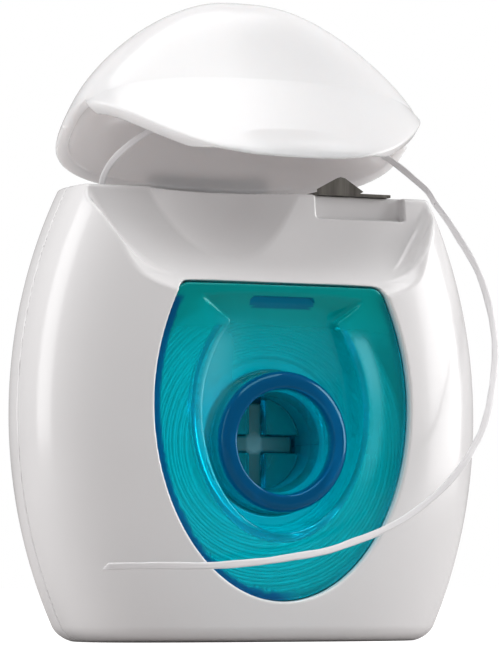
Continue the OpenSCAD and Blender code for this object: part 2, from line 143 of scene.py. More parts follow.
def moulded_white(name, light, dark, rough, glow):
    """Glossy white polypropylene: faint tone changes, faint moulding ripple, fine texture. glow is
    how much of its light passes through the wall. A mesh may carry a value of painted shade that
    turns the part seen down the teal tube dark teal."""
    mat, tree, shader = new_material(name)
    tone = noise(tree, 60, 2)
    white = ramp(tree, tone.outputs["Fac"], [(0.3, dark), (0.7, light)])
    # painted shade: the cross seen down the teal tube is darkened to dark teal
    hub_shade = node(tree, "ShaderNodeAttribute", attribute_name="painted_hub_shade")
    colour = blend_colour(tree, hub_shade.outputs["Fac"], white.outputs["Color"], (0.0, 0.16, 0.17, 1))
    tree.links.new(colour.outputs["Color"], shader.inputs["Base Color"])
    grain = noise(tree, 900, 4)
    tree.links.new(spread(tree, grain.outputs["Fac"], rough - 0.03, rough + 0.04),
                   shader.inputs["Roughness"])
    ripple = noise(tree, 220, 3)
    bump(tree, ripple.outputs["Fac"], shader, 0.12, 0.02)
    shader.inputs["IOR"].default_value = 1.49
    shader.inputs["Subsurface Weight"].default_value = glow
    shader.inputs["Subsurface Radius"].default_value = (1.0, 0.92, 0.89)
    shader.inputs["Subsurface Scale"].default_value = 5 * MM
    shader.inputs["Coat Weight"].default_value = 0.15
    shader.inputs["Coat Roughness"].default_value = 0.08
    return mat


CASE_WHITE = moulded_white("case_white", (0.82, 0.812, 0.815), (0.795, 0.787, 0.79), 0.22, 0.0)
LID_WHITE = moulded_white("lid_white", (0.87, 0.845, 0.85), (0.85, 0.825, 0.83), 0.22, 0.9)


def clear_teal():
    """Clear teal moulding. Its mesh carries three values of painted light at each point: a painted blue
    where the eye looks into a long path of plastic, made heavier on the left of the rim by painted
    shade, a painted reflection that turns patches on the dish whitish, and painted shade that turns
    the bar and ramp a darker green. Where they are, the plastic is also made less clear."""
    mat, tree, shader = new_material("window_teal")
    edge = node(tree, "ShaderNodeAttribute", attribute_name="painted_edge_blue")
    reflection_mark = node(tree, "ShaderNodeAttribute", attribute_name="painted_reflection")
    painted_bar_shade = node(tree, "ShaderNodeAttribute", attribute_name="painted_bar_shade")
    flow = noise(tree, 140, 4, (1, 1, 0.3))
    teal = ramp(tree, flow.outputs["Fac"], [(0.3, (0.0, 0.84, 0.87)), (0.7, (0.0, 0.92, 0.94))])
    # painted shade: the bar and ramp are painted a darker green
    green = blend_colour(tree, painted_bar_shade.outputs["Fac"], teal.outputs["Color"], (0.0, 0.42, 0.38, 1))
    # painted blue for the long path through the plastic, with painted shade on the left of the rim
    blue = blend_colour(tree, edge.outputs["Fac"], green.outputs["Color"], (0.0, 0.14, 0.37, 1))
    # painted reflection: whitish patches where the dish's walls catch the light
    with_reflection = blend_colour(tree, reflection_mark.outputs["Fac"], blue.outputs["Color"], (0.26, 0.82, 0.90, 1))
    tree.links.new(with_reflection.outputs["Color"], shader.inputs["Base Color"])
    # the painted light marks also lower the transmission
    painted_marks = edge.outputs["Fac"]
    for other in (reflection_mark, painted_bar_shade):
        most = tree.nodes.new("ShaderNodeMath")
        most.operation = "MAXIMUM"
        tree.links.new(painted_marks, most.inputs[0])
        tree.links.new(other.outputs["Fac"], most.inputs[1])
        painted_marks = most.outputs["Value"]
    tree.links.new(spread(tree, painted_marks, 0.84, 0.45), shader.inputs["Transmission Weight"])
    shader.inputs["IOR"].default_value = 1.4
    shader.inputs["Specular Tint"].default_value = (0.3, 0.95, 1.0, 1)
    grain = noise(tree, 500, 3)
    tree.links.new(spread(tree, grain.outputs["Fac"], 0.03, 0.09), shader.inputs["Roughness"])
    bump(tree, flow.outputs["Fac"], shader, 0.10, 0.03)
    clear = node(tree, "ShaderNodeBsdfTransparent", Color=(0.25, 1.0, 1.0, 1))
    path = tree.nodes.new("ShaderNodeLightPath")
    mix = tree.nodes.new("ShaderNodeMixShader")
    tree.links.new(path.outputs["Is Shadow Ray"], mix.inputs[0])
    tree.links.new(shader.outputs["BSDF"], mix.inputs[1])
    tree.links.new(clear.outputs["BSDF"], mix.inputs[2])
    out = tree.nodes["Material Output"]
    tree.links.new(mix.outputs["Shader"], out.inputs["Surface"])
    absorb = node(tree, "ShaderNodeVolumeAbsorption", Color=(0.0, 0.85, 0.97, 1), Density=350.0)
    tree.links.new(absorb.outputs["Volume"], out.inputs["Volume"])
    return mat


WINDOW_TEAL = clear_teal()


def brushed_steel():
    mat, tree, shader = new_material("cutter_steel")
    brush = noise(tree, 1200, 4, (1, 1, 0.06))
    colour = ramp(tree, brush.outputs["Fac"], [(0.35, (0.08, 0.074, 0.066)), (0.68, (0.20, 0.19, 0.172))])
    tree.links.new(colour.outputs["Color"], shader.inputs["Base Color"])
    shader.inputs["Metallic"].default_value = 0.85
    shader.inputs["Anisotropic"].default_value = 0.4
    tree.links.new(spread(tree, brush.outputs["Fac"], 0.34, 0.5), shader.inputs["Roughness"])
    bump(tree, brush.outputs["Fac"], shader, 0.3, 0.01)
    return mat


CUTTER_STEEL = brushed_steel()


def waxed_floss(name, across):
    """Flat ribbon of fine filaments, waxed. Streaks run along it, by the mesh's own map."""
    mat, tree, shader = new_material(name)
    uv = tree.nodes.new("ShaderNodeUVMap")
    uv.uv_map = "UVMap"
    mapping = tree.nodes.new("ShaderNodeMapping")
    mapping.inputs["Scale"].default_value = across
    tree.links.new(uv.outputs["UV"], mapping.inputs["Vector"])
    streak = node(tree, "ShaderNodeTexNoise", Scale=1.0, Detail=4.0)
    tree.links.new(mapping.outputs["Vector"], streak.inputs["Vector"])
    colour = ramp(tree, streak.outputs["Fac"], [(0.3, (0.74, 0.73, 0.74)), (0.6, (0.86, 0.85, 0.86))])
    tree.links.new(colour.outputs["Color"], shader.inputs["Base Color"])
    tree.links.new(spread(tree, streak.outputs["Fac"], 0.42, 0.6), shader.inputs["Roughness"])
    shader.inputs["Sheen Weight"].default_value = 0.2
    bump(tree, streak.outputs["Fac"], shader, 0.5, 0.02)
    return mat


FLOSS_WHITE = waxed_floss("floss_white", (14, 0.6, 1))


def plain_moulding():
    mat, tree, shader = new_material("spool_white")
    grain = noise(tree, 400, 4)
    colour = ramp(tree, grain.outputs["Fac"], [(0.3, (0.82, 0.82, 0.82)), (0.7, (0.90, 0.90, 0.90))])
    tree.links.new(colour.outputs["Color"], shader.inputs["Base Color"])
    tree.links.new(spread(tree, grain.outputs["Fac"], 0.45, 0.6), shader.inputs["Roughness"])
    bump(tree, grain.outputs["Fac"], shader, 0.2, 0.02)
    return mat


SPOOL_WHITE = plain_moulding()


# ------------------------------------------------------------------ mesh helpers
def mesh_object(name, points_mm, faces, material, smooth=True):
    mesh = bpy.data.meshes.new(name)
    mesh.from_pydata((np.asarray(points_mm) * MM).tolist(), [], [list(f) for f in faces])
    mesh.update()
    if smooth:
        mesh.shade_smooth()
    mesh.materials.append(material)
    made = bpy.data.objects.new(name, mesh)
    bpy.context.scene.collection.objects.link(made)
    return made


def unit(v):
    v = np.asarray(v, float)
    return v / np.linalg.norm(v, axis=-1, keepdims=True)


def smooth_route(route, steps):
    """Catmull-Rom curve through the route, as part.scad draws it."""
    p = np.array(route, float)
    out = []
    for i in range(len(p) - 1):
        a, b, c, d = p[max(i - 1, 0)], p[i], p[i + 1], p[min(i + 2, len(p) - 1)]
        for s in range(steps):
            t = s / steps
            out.append(0.5 * (2 * b + (c - a) * t + (2 * a - 5 * b + 4 * c - d) * t * t
                              + (3 * b - a - 3 * c + d) * t ** 3))
    out.append(p[-1])
    return np.array(out)


def length_of(path):
    return float(np.linalg.norm(np.diff(path, axis=0), axis=1).sum())


# ------------------------------------------------------------------ floss
LEAD_ROUTE = [(-16.3, 0, 20.3), (-16.3, 0, 28), (-16.3, 0, 36), (-16.2, 0, 45.8)]
ARCH_ROUTE = [
    (-16.2, 0, 45.8), (-16.1, 0, 47.2), (-15.6, -0.3, 48.6), (-14.6, -1, 50), (-12.8, -1.8, 51.6),
    (-10.6, -2.5, 52.8), (-7.6, -3, 54), (-3.3, -3.4, 54.9), (1.8, -3.4, 55.1), (7.3, -3, 54.2),
    (11.6, -2.5, 52.8), (14.9, -2.1, 51.2), (17.2, -2, 49.9), (18.9, -2, 48.7), (20.4, -2.1, 47.5),
    (21.2, -2.3, 46.2)]
TAIL_ROUTE = [
    (21.2, -2.3, 46.2), (22.3, -3, 44.4), (23.3, -3.8, 42.4), (24.1, -4.7, 40.5), (24.7, -5.6, 38.5),
    (25, -6.5, 36.4), (25.1, -7.4, 34.2), (25, -8.2, 32.2), (24.7, -9, 30.2), (24.1, -9.8, 27.9),
    (23.3, -10.6, 25.6), (22.5, -11.3, 23.6), (21.4, -11.9, 21.5), (20.3, -12.3, 20), (19.2, -12.7, 18.6),
    (16.4, -13.2, 15.8), (12.4, -13.6, 13), (8.7, -13.8, 11.2), (5.5, -13.9, 10.1), (2.5, -14, 9.2),
    (-1.2, -14, 8.6), (-4.9, -13.9, 8.1), (-10.2, -13.6, 7.7), (-15.4, -13.2, 7.7), (-21.1, -12.8, 7.6)]
RIBBON_W, RIBBON_T = 0.72, 0.16


def ribbon(name, path, twist, end_slant=0.0):
    """Flat ribbon along path. twist(s) is its roll about the line, s being millimetres along it."""
    n = len(path)
    steps = np.linalg.norm(np.diff(path, axis=0), axis=1)
    along = np.concatenate([[0], np.cumsum(steps)])
    tangent = unit(np.gradient(path, axis=0))
    wide = unit(np.cross(tangent, SIGHT))
    thick = np.cross(wide, tangent)
    roll = np.array([twist(s) for s in along])[:, None]
    wide, thick = (wide * np.cos(roll) + thick * np.sin(roll), thick * np.cos(roll) - wide * np.sin(roll))
    section = [(-1, 0), (-0.93, 0.8), (-0.5, 1), (0, 0.9), (0.5, 1), (0.93, 0.8),
               (1, 0), (0.93, -0.8), (0.5, -1), (0, -0.9), (-0.5, -1), (-0.93, -0.8)]
    sides = len(section)
    breathe = 1 - 0.05 * np.sin(along * 0.9) - 0.03 * np.sin(along * 2.3 + 1)
    points, faces = [], []
    for i in range(n):
        slant = end_slant if i == n - 1 else 0.0
        for u, v in section:
            points.append(path[i] + wide[i] * u * RIBBON_W / 2 * breathe[i]
                          + thick[i] * v * RIBBON_T / 2 + tangent[i] * slant * u)
    for i in range(n - 1):
        for k in range(sides):
            m = (k + 1) % sides
            faces.append((i * sides + k, i * sides + m, (i + 1) * sides + m, (i + 1) * sides + k))
    faces.append(tuple(range(sides - 1, -1, -1)))
    faces.append(tuple((n - 1) * sides + k for k in range(sides)))
    made = mesh_object(name, points, faces, FLOSS_WHITE)
    layer = made.data.uv_layers.new(name="UVMap")
    for face in made.data.polygons:
        for loop in face.loop_indices:
            vertex = made.data.loops[loop].vertex_index
            i, k = divmod(vertex, sides)
            layer.data[loop].uv = (section[k][0] * 0.5, along[i] * 0.5)
    return made


lead_path = smooth_route(LEAD_ROUTE, 6)
arch_path = smooth_route(ARCH_ROUTE, 6)
tail_path = smooth_route(TAIL_ROUTE, 6)
lead = ribbon("floss_lead_ribbon", lead_path, lambda s: 0.0)
arch = ribbon("floss_arch_ribbon", arch_path, lambda s: 0.5 * math.sin(s / 9.0))
arch_end_roll = 0.5 * math.sin(length_of(arch_path) / 9.0)
tail = ribbon("floss_tail_ribbon", tail_path,
              lambda s: arch_end_roll * math.exp(-s / 6) + 0.35 * math.sin(s / 11.0) * (1 - math.exp(-s / 6)),
              end_slant=0.35)
for piece, node_name in ((lead, "floss_lead"), (arch, "floss_arch"), (tail, "floss_tail")):
    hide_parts(node_name)
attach(lead, "case")
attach(tail, "case")
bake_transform(arch)

# ------------------------------------------------------------------ sizes shared with the CAD, mm
BODY_W, BODY_D, BODY_H = 50.8, 21.0, 46.4
WIDE_Z, SIDE_R, FACE_R, PLAN_N = 23.4, 52.0, 265.0, 2.8
WALL, BASE_ROUND, DECK_ROUND, SEAM = 1.2, 1.6, 0.28, 0.1
DECK_FRONT, RECESS_R, RECESS_DROP, RECESS_HALF = 4.0, 11.9, 11.3, 20.2
RECESS_FLARE, RECESS_FLARE_Y = 0.14, -6.0
BEVEL_Z, BEVEL_LEG = (37.0, 40.5), (1.1, 0.25)  # the recess's broken edge fades out upwards
SCOOP_R, SCOOP_AT = 14.0, (-4.2, -14.2, 50.8)
NOTCH_X, NOTCH_W, NOTCH_H, NOTCH_IN = 6.3, 10.3, 2.5, 1.1
LID_RISE, CROWN_N, FRONT_N, REAR_N, CROWN_PLAN_N, CROWN_LEAN = 12.5, 1.4, 5.5, 3.9, 3.25, 0.85
CROWN_FLAT, CROWN_CLIP = 0.998, 0.9995  # shares of the rise: where it is flat, where it stops
LID_WALL, LIP_DROP, LIP_HALF, LIP_N, LIP_T, LID_GAP, LID_OPEN = 1.3, 11.3, 19.45, 3.0, 0.3, 0.25, 35.0
DENT_X, DENT_Z, DENT_R, DENT_IN, DENT_LONG = 0.8, 37.8, 3.0, 0.14, 5.2
HINGE_Y, HINGE_Z, HINGE_W, HINGE_FLAT_Y = 10.0, 47.2, 14.0, 9.0
WINDOW_HALF, WINDOW_MID, WINDOW_LOW, WINDOW_TOP, WINDOW_K = 14.4, 24.0, 4.1, 36.4, 0.0203
INSERT_SINK, INSERT_T, INSERT_GAP = 0.7, 1.1, 0.1
DISH_HALF, DISH_MID, DISH_LOW, DISH_TOP, DISH_K = 9.25, 23.5, 10.9, 32.5, 0.039
DISH_FLOOR_Y, FLARE, RAMP_SLOPE, RAMP_Y, RAMP_Z = -6.7, 1.436, 0.68, -9.9, 36.0
DISH_DRAFT, DISH_MOUTH_Y, DISH_DEEP = 0.16, -10.5, 6.0
LATCH_W, LATCH_H, LATCH_Z, LATCH_FLOOR_Y = 7.2, 1.1, 34.5, -8.9
HUB_Z, HUB_R, MOUTH_R, BORE_R, RING_FRONT = 20.3, 7.2, 5.4, 4.8, -10.0
END_WALL_Y, END_WALL_T = -3.1, 1.3
BORE_TAPER_Y, BORE_TAPER_LONG, REAR_BORE_R = -5.5, 4.0, 5.2
HUB_WALL_LEFT = 0.6  # wall of the tube that stays where the insert is opened behind it
CROSS_R, CROSS_ARM, CROSS_TIP = 4.3, 1.7, -2.2
EXIT_X, EXIT_R, EXIT_DEEP = -16.2, 0.9, 3.0
WOUND_R, CORE_R, SPOOL_FRONT, SPOOL_W = 15.9, 8.71, -5.3, 12.0


# ------------------------------------------------------------------ distance fields
def round_both(a, b, r):
    """Intersection of two fields whose shared edge has radius r, a number or a field."""
    u, v = np.maximum(a + r, 0), np.maximum(b + r, 0)
    return np.sqrt(u * u + v * v) - r + np.minimum(np.maximum(a, b) + r, 0)


def join(a, b, r=0.0):
    return -round_both(-a, -b, r)


def cut(a, b, r=0.0):
    return round_both(a, -b, r)


def chamfer(a, b, leg, r=0.2):
    """a with b cut away, the edge broken by a flat face."""
    flat = (a - b + leg) / math.sqrt(2)
    return round_both(round_both(a, -b, 0.05), flat, r)


def half_w(z):
    return BODY_W / 2 - (SIDE_R - np.sqrt(SIDE_R ** 2 - (z - WIDE_Z) ** 2))


def half_d(z):
    return BODY_D / 2 - (FACE_R - np.sqrt(FACE_R ** 2 - (z - WIDE_Z) ** 2))


def squircle(x, y, a, d, n):
    return ((np.abs(x) / a) ** n + (np.abs(y) / d) ** n) ** (1 / n) + 1e-6


def form(x, y, z, size):
    """Distance to a form whose plan at each height is a squircle: size(y, z) gives its
    half width, half depth, power and the place of its middle along Y."""
    e = 0.02
    a, d, n, mid = size(y, z)
    s = squircle(x, y - mid, a, d, n)
    a2, d2, n2, mid2 = size(y, z + e)
    sz = (squircle(x, y - mid2, a2, d2, n2) - s) / e
    sx = s ** (1 - n) * np.abs(x) ** (n - 1) / a ** n
    sy = s ** (1 - n) * np.abs(y - mid) ** (n - 1) / d ** n
    return (s - 1) / np.sqrt(sx * sx + sy * sy + sz * sz + 1e-7)


def case_side(x, y, z, inset=0.0):
    return form(x, y, z, lambda yy, zz: (half_w(zz) - inset, half_d(zz) - inset, PLAN_N, 0.0))


def recess_curve(x, drop_by, half):
    u = np.minimum(np.abs(x) / half, 1.15)
    return BODY_H - drop_by * (1 - u ** 4), drop_by * 4 * u ** 3 / half


def recess_field(x, y, z, grow=0.0):
    floor = np.sqrt((y + DECK_FRONT + RECESS_R) ** 2 + (z - BODY_H) ** 2) - RECESS_R - grow
    flare = RECESS_FLARE * np.maximum(RECESS_FLARE_Y - y, 0)
    edge, slope = recess_curve(x, RECESS_DROP + grow, RECESS_HALF + grow)
    side = (edge - z) / np.sqrt(1 + slope ** 2) - flare
    return round_both(floor, side, 1.0)


def scoop_field(x, y, z, grow=0.0):
    cx, cy, cz = SCOOP_AT
    return np.sqrt((x - cx) ** 2 + (y - cy) ** 2 + (z - cz) ** 2) - SCOOP_R - grow


def box_field(x, y, z, low, high, r=0.0):
    fx = np.maximum(low[0] - x, x - high[0])
    fy = np.maximum(low[1] - y, y - high[1])
    fz = np.maximum(low[2] - z, z - high[2])
    return round_both(round_both(fx, fy, r), fz, r)


def notch_field(x, y, z, grow=0.0):
    return box_field(x, y, z, (NOTCH_X - grow, -40, BODY_H - NOTCH_H - grow),
                     (NOTCH_X + NOTCH_W + grow, -DECK_FRONT + NOTCH_IN + grow, BODY_H + 5), 0.3)


def shield(x, z, half, mid, low, top, k, grow=0.0, corner=0.8):
    """Distance to a shield outline: half ellipse below, side arcs above, straight top."""
    h, b = half + grow, mid - low + grow
    g = np.sqrt((x / h) ** 2 + ((z - mid) / b) ** 2) + 1e-6
    slope = np.sqrt((x / h ** 2) ** 2 + ((z - mid) / b ** 2) ** 2) / g
    below = (g - 1) / np.maximum(slope, 1e-4)
    zz = np.minimum(z, top + 3)
    above = (np.abs(x) - h + k * (zz - mid) ** 2) / np.sqrt(1 + (2 * k * (zz - mid)) ** 2)
    side = np.where(z < mid, below, above)
    return round_both(side, z - top - grow, corner)


def window_field(x, z, grow=0.0):
    return shield(x, z, WINDOW_HALF, WINDOW_MID, WINDOW_LOW, WINDOW_TOP, WINDOW_K, grow)


def cavity_field(x, y, z):
    hollow = np.maximum(case_side(x, y, z, WALL), z - BODY_H + WALL)
    hollow = np.maximum(hollow, WALL - z)
    keep_wall = join(recess_field(x, y, z, WALL), scoop_field(x, y, z, WALL))
    keep_wall = join(keep_wall, notch_field(x, y, z, WALL))
    return np.maximum(hollow, -keep_wall)


def case_block(x, y, z):
    body = round_both(case_side(x, y, z), -z, BASE_ROUND)
    return round_both(body, z - BODY_H, DECK_ROUND)


def exit_field(x, y, z):
    return np.maximum(np.sqrt((x - EXIT_X) ** 2 + y * y) - EXIT_R, BODY_H - EXIT_DEEP - z)


def front_shell_field(x, y, z):
    f = cut(case_block(x, y, z), cavity_field(x, y, z), 0.15)
    f = chamfer(f, recess_field(x, y, z), np.interp(z, BEVEL_Z, BEVEL_LEG))
    f = cut(f, scoop_field(x, y, z), 0.2)
    f = cut(f, notch_field(x, y, z), 0.2)
    f = cut(f, np.maximum(window_field(x, z), y + DECK_FRONT), 0.3)
    f = cut(f, exit_field(x, y, z), 0.2)
    return round_both(f, y + SEAM / 2, 0.12)


def cross_field(x, y, z):
    r = np.sqrt(x * x + (z - HUB_Z) ** 2) - CROSS_R
    arms = np.minimum(np.abs(x), np.abs(z - HUB_Z)) - CROSS_ARM / 2
    f = round_both(round_both(r, arms, 0.15), CROSS_TIP - y, 0.2)
    return np.maximum(f, y - half_d(HUB_Z) + 0.6)


def rear_shell_field(x, y, z):
    f = cut(case_block(x, y, z), cavity_field(x, y, z), 0.15)
    f = cut(f, exit_field(x, y, z), 0.2)
    hinge = box_field(x, y, z, (-HINGE_W / 2 - 0.1, HINGE_FLAT_Y, BODY_H - 1.3),
                      (HINGE_W / 2 + 0.1, 30, BODY_H + 9), 0.1)
    f = cut(f, hinge, 0.15)
    f = round_both(f, SEAM / 2 - y, 0.12)
    return join(f, cross_field(x, y, z), 0.2)


def lid_size(inset):
    rise = LID_RISE - inset
    a0, d0 = half_w(BODY_H) - inset, half_d(BODY_H) - inset

    def size(y, z):
        k = np.clip((z - BODY_H) / rise, 0, CROWN_CLIP)
        mid = -CROWN_LEAN * k * k
        below = z < BODY_H
        a = np.where(below, half_w(np.clip(z, 0, BODY_H)) - inset, a0 * np.sqrt(1 - k ** CROWN_N))
        front = d0 * (1 - k ** FRONT_N) ** (1 / FRONT_N)
        rear = d0 * (1 - k ** REAR_N) ** (1 / REAR_N)
        d = np.where(below, half_d(np.clip(z, 0, BODY_H)) - inset, np.where(y < mid, front, rear))
        return a, d, PLAN_N + (CROWN_PLAN_N - PLAN_N) * k, mid
    return size


def lid_form(x, y, z, inset=0.0):
    return np.maximum(form(x, y, z, lid_size(inset)), z - BODY_H - CROWN_FLAT * (LID_RISE - inset))


def lid_field(x, y, z):
    """The lid in its closed place."""
    inner_edge = np.interp(z, (47.5, 50.0), (0.3, 0.0))
    f = cut(lid_form(x, y, z), lid_form(x, y, z, LID_WALL), inner_edge)
    u = np.minimum(np.abs(x) / LIP_HALF, 1.1)
    rim_z = BODY_H + LID_GAP
    lip = rim_z - LIP_DROP * (1 - u ** LIP_N)
    slope = LIP_DROP * LIP_N * u ** (LIP_N - 1) / LIP_HALF
    f = round_both(f, np.where(y < 0, (lip - z) / np.sqrt(1 + slope ** 2), BODY_H - z - 5), 0.2)
    dent = np.sqrt(((x - DENT_X) / DENT_LONG) ** 2 + (y + half_d(DENT_Z) + DENT_R - DENT_IN) ** 2
                   + (z - DENT_Z) ** 2) - DENT_R
    f = cut(f, dent, 0.3)
    rim = np.maximum(z - rim_z, -DECK_FRONT - 2 * LID_GAP - y)
    f = cut(f, rim, 0.25)
    under = cut(case_side(x, y, z, LIP_T), recess_field(x, y, z, -LID_GAP), 0.1)
    under = np.maximum(under, z - BODY_H)
    f = cut(f, under, 0.15)
    hinge = box_field(x, y, z, (-HINGE_W / 2 - 0.1, HINGE_FLAT_Y, BODY_H - 5),
                      (HINGE_W / 2 + 0.1, 30, HINGE_Z + 1.3), 0.1)
    return cut(f, hinge, 0.15)


def dish_field(x, y, z):
    """The hollow of the window: a tapered bowl whose top side is a long ramp."""
    draw_in = -DISH_DRAFT * np.clip(y - DISH_MOUTH_Y, 0, DISH_DEEP)
    sides = shield(x, z, DISH_HALF, DISH_MID, DISH_LOW, DISH_TOP + 9, DISH_K, draw_in)
    near = DISH_HALF - DISH_K * (DISH_TOP - DISH_MID) ** 2 + draw_in
    flared = (np.abs(x) - near - FLARE * (z - DISH_TOP)) / math.sqrt(1 + FLARE ** 2)
    bowl = join(sides, flared, 0.3)
    ramp_y = RAMP_Y + RAMP_SLOPE * (RAMP_Z - z)
    slope = (y - ramp_y) / math.sqrt(1 + RAMP_SLOPE ** 2)
    return round_both(bowl, round_both(y - DISH_FLOOR_Y, slope, 3.0), 0.5)


def ring_radius(x, z):
    return np.sqrt(x * x + (z - HUB_Z) ** 2)


def hub_field(x, y, z):
    r = ring_radius(x, z)
    outer = round_both(r - HUB_R, RING_FRONT - y, 0.9)
    outer = np.maximum(outer, y - SPOOL_FRONT - SPOOL_W + 0.5)
    bore = BORE_R + np.clip((BORE_TAPER_Y - y) / BORE_TAPER_LONG, 0, 1) * (MOUTH_R - BORE_R)
    end_wall = np.maximum(END_WALL_Y - y, y - END_WALL_Y - END_WALL_T)
    gap = np.minimum(np.abs(x), np.abs(z - HUB_Z)) - CROSS_ARM / 2 - 0.1
    end_wall = np.maximum(end_wall, -gap)
    inner = np.where(y > END_WALL_Y + END_WALL_T, r - REAR_BORE_R, r - bore)
    open_bore = np.maximum(inner, -end_wall)
    return cut(outer, open_bore, 0.35)


def insert_field(x, y, z):
    sunk = case_side(x, y, z, INSERT_SINK)
    plate = window_field(x, z, -INSERT_GAP)
    f = round_both(sunk, plate, 0.3)
    f = round_both(f, y + DECK_FRONT, 0.0)
    recess = recess_field(x, y, z)
    f = cut(f, recess, 0.25)
    dish = dish_field(x, y, z)
    inner = case_side(x, y, z, INSERT_SINK + INSERT_T)
    behind = np.maximum(inner, -(dish - INSERT_T))
    f = cut(f, behind, 0.2)
    f = cut(f, dish, np.interp(z, (30.5, 32.0), (0.35, 0.12)))
    r = ring_radius(x, z)
    f = cut(f, np.maximum(r - HUB_R + HUB_WALL_LEFT, -1))
    latch = np.maximum(np.abs(x) - (LATCH_W - LATCH_H) / 2, 0)
    latch = np.sqrt(latch ** 2 + (z - LATCH_Z) ** 2) - LATCH_H / 2
    latch = np.maximum(latch, y - LATCH_FLOOR_Y)
    f = cut(f, latch, 0.12)
    return join(f, hub_field(x, y, z), 0.5)


# ------------------------------------------------------------------ meshing a field
def net(field, low, high, step):
    """Surface net of field = 0 on a grid, its points then moved onto the surface."""
    axes = [np.arange(a, b + step, step) for a, b in zip(low, high)]
    gx, gy, gz = np.meshgrid(*axes, indexing="ij")
    f = field(gx, gy, gz)
    inside = f < 0
    shape = tuple(n - 1 for n in f.shape)
    total = np.zeros(shape + (3,))
    count = np.zeros(shape)
    corner = lambda a, i, j, k: a[i:i + shape[0], j:j + shape[1], k:k + shape[2]]
    for axis in range(3):
        for u in (0, 1):
            for v in (0, 1):
                start = [u, v]
                start.insert(axis, 0)
                end = list(start)
                end[axis] = 1
                f0, f1 = corner(f, *start), corner(f, *end)
                crossing = (f0 < 0) != (f1 < 0)
                t = np.where(crossing, f0 / np.where(crossing, f0 - f1, 1), 0)
                for c in range(3):
                    total[..., c] += np.where(crossing, t if c == axis else start[c], 0)
                count += crossing
    active = count > 0
    index = np.full(shape, -1)
    index[active] = np.arange(active.sum())
    cells = np.argwhere(active)
    points = (cells + total[active] / count[active][:, None]) * step + np.array(low)
    faces = []
    for axis in range(3):
        b, c = (axis + 1) % 3, (axis + 2) % 3
        lo = [slice(None)] * 3
        hi = [slice(None)] * 3
        lo[axis], hi[axis] = slice(0, -1), slice(1, None)
        s0, s1 = inside[tuple(lo)], inside[tuple(hi)]
        for sign, crossing in ((0, s0 & ~s1), (1, ~s0 & s1)):
            at = np.argwhere(crossing)
            at = at[(at[:, b] > 0) & (at[:, b] < f.shape[b] - 1)
                    & (at[:, c] > 0) & (at[:, c] < f.shape[c] - 1)]
            quad = []
            for db, dc in ((0, 0), (1, 0), (1, 1), (0, 1)):
                q = at.copy()
                q[:, b] -= db
                q[:, c] -= dc
                quad.append(index[q[:, 0], q[:, 1], q[:, 2]])
            quad = np.stack(quad if sign == 0 else quad[::-1], axis=1)
            faces.append(quad)
    faces = np.concatenate(faces)
    points = settle(field, points, step)
    return points, faces


def gradient(field, points, e):
    x, y, z = points.T
    return np.stack([field(x + e, y, z) - field(x - e, y, z), field(x, y + e, z) - field(x, y - e, z),
                     field(x, y, z + e) - field(x, y, z - e)], axis=1) / (2 * e)


def settle(field, points, step):
    e = step * 0.05
    for _ in range(4):
        x, y, z = points.T
        f = field(x, y, z)
        g = np.stack([field(x + e, y, z) - f, field(x, y + e, z) - f, field(x, y, z + e) - f], axis=1) / e
        move = -f[:, None] * g / np.maximum((g * g).sum(axis=1), 0.2)[:, None]
        far = np.linalg.norm(move, axis=1)
        move *= np.minimum(1, 0.35 * step / np.maximum(far, 1e-9))[:, None]
        points = points + move
    return points


def thinned(points, faces, keep):
    """The same surface with fewer faces, most of them kept where it bends."""
    rough = mesh_object("rough", points, faces, CASE_WHITE)
    rough.modifiers.new("thin", "DECIMATE").ratio = keep
    made = bpy.data.meshes.new_from_object(rough.evaluated_get(bpy.context.evaluated_depsgraph_get()))
    places = np.empty(len(made.vertices) * 3)
    made.vertices.foreach_get("co", places)
    corners = [tuple(p.vertices) for p in made.polygons]
    old = rough.data
    bpy.data.objects.remove(rough)
    bpy.data.meshes.remove(old)
    bpy.data.meshes.remove(made)
    return places.reshape(-1, 3) / MM, corners


def moulded(name, field, low, high, step, material, body, stands_for, keep=0.4, place=None,
             paints=None):
    """A moulding whose surface and shading normals both come from its distance field."""
    points, faces = net(field, low, high, step)
    if keep < 1:
        points, faces = thinned(points, faces, keep)
    points = settle(field, points, step)
    normals = unit(gradient(field, points, 0.06))
    marks = {key: paint(*points.T) for key, paint in (paints or {}).items()}
    if place is not None:
        points, normals = points @ place[0].T + place[1], normals @ place[0].T
    made = mesh_object(name, points, faces, material)
    made.data.normals_split_custom_set_from_vertices(normals.tolist())
    for key, values in marks.items():
        made.data.attributes.new(key, "FLOAT", "POINT").data.foreach_set("value", values.astype(np.float32))
    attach(made, body)
    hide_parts(*stands_for)
    return made


def fade(value, start, end):
    t = np.clip((value - start) / (end - start), 0, 1)
    return t * t * (3 - 2 * t)


def painted_edge_blue(x, y, z):
    """Painted blue for the long path of light through the plastic, on the ring of the hub, the rim of the
    window and the latch slot; on the rim, painted shade makes it heavier on the left.
    """
    r = ring_radius(x, z)
    ring = fade(r, 5.1, 5.4) * fade(-r, -7.5, -7.2) * fade(-y, 8.4, 9.2)
    rim = fade(window_field(x, z), -0.95, -0.75) * (0.25 + 0.75 * fade(-x, -3, 1)) * fade(-z, -35.2, -34.6)
    slot = np.sqrt(np.maximum(np.abs(x) - (LATCH_W - LATCH_H) / 2, 0) ** 2 + (z - LATCH_Z) ** 2)
    latch = fade(-slot, -LATCH_H / 2 - 0.12, -LATCH_H / 2) * fade(-y, 8.0, 8.4)
    return np.maximum(np.maximum(ring, rim), 0.8 * latch)


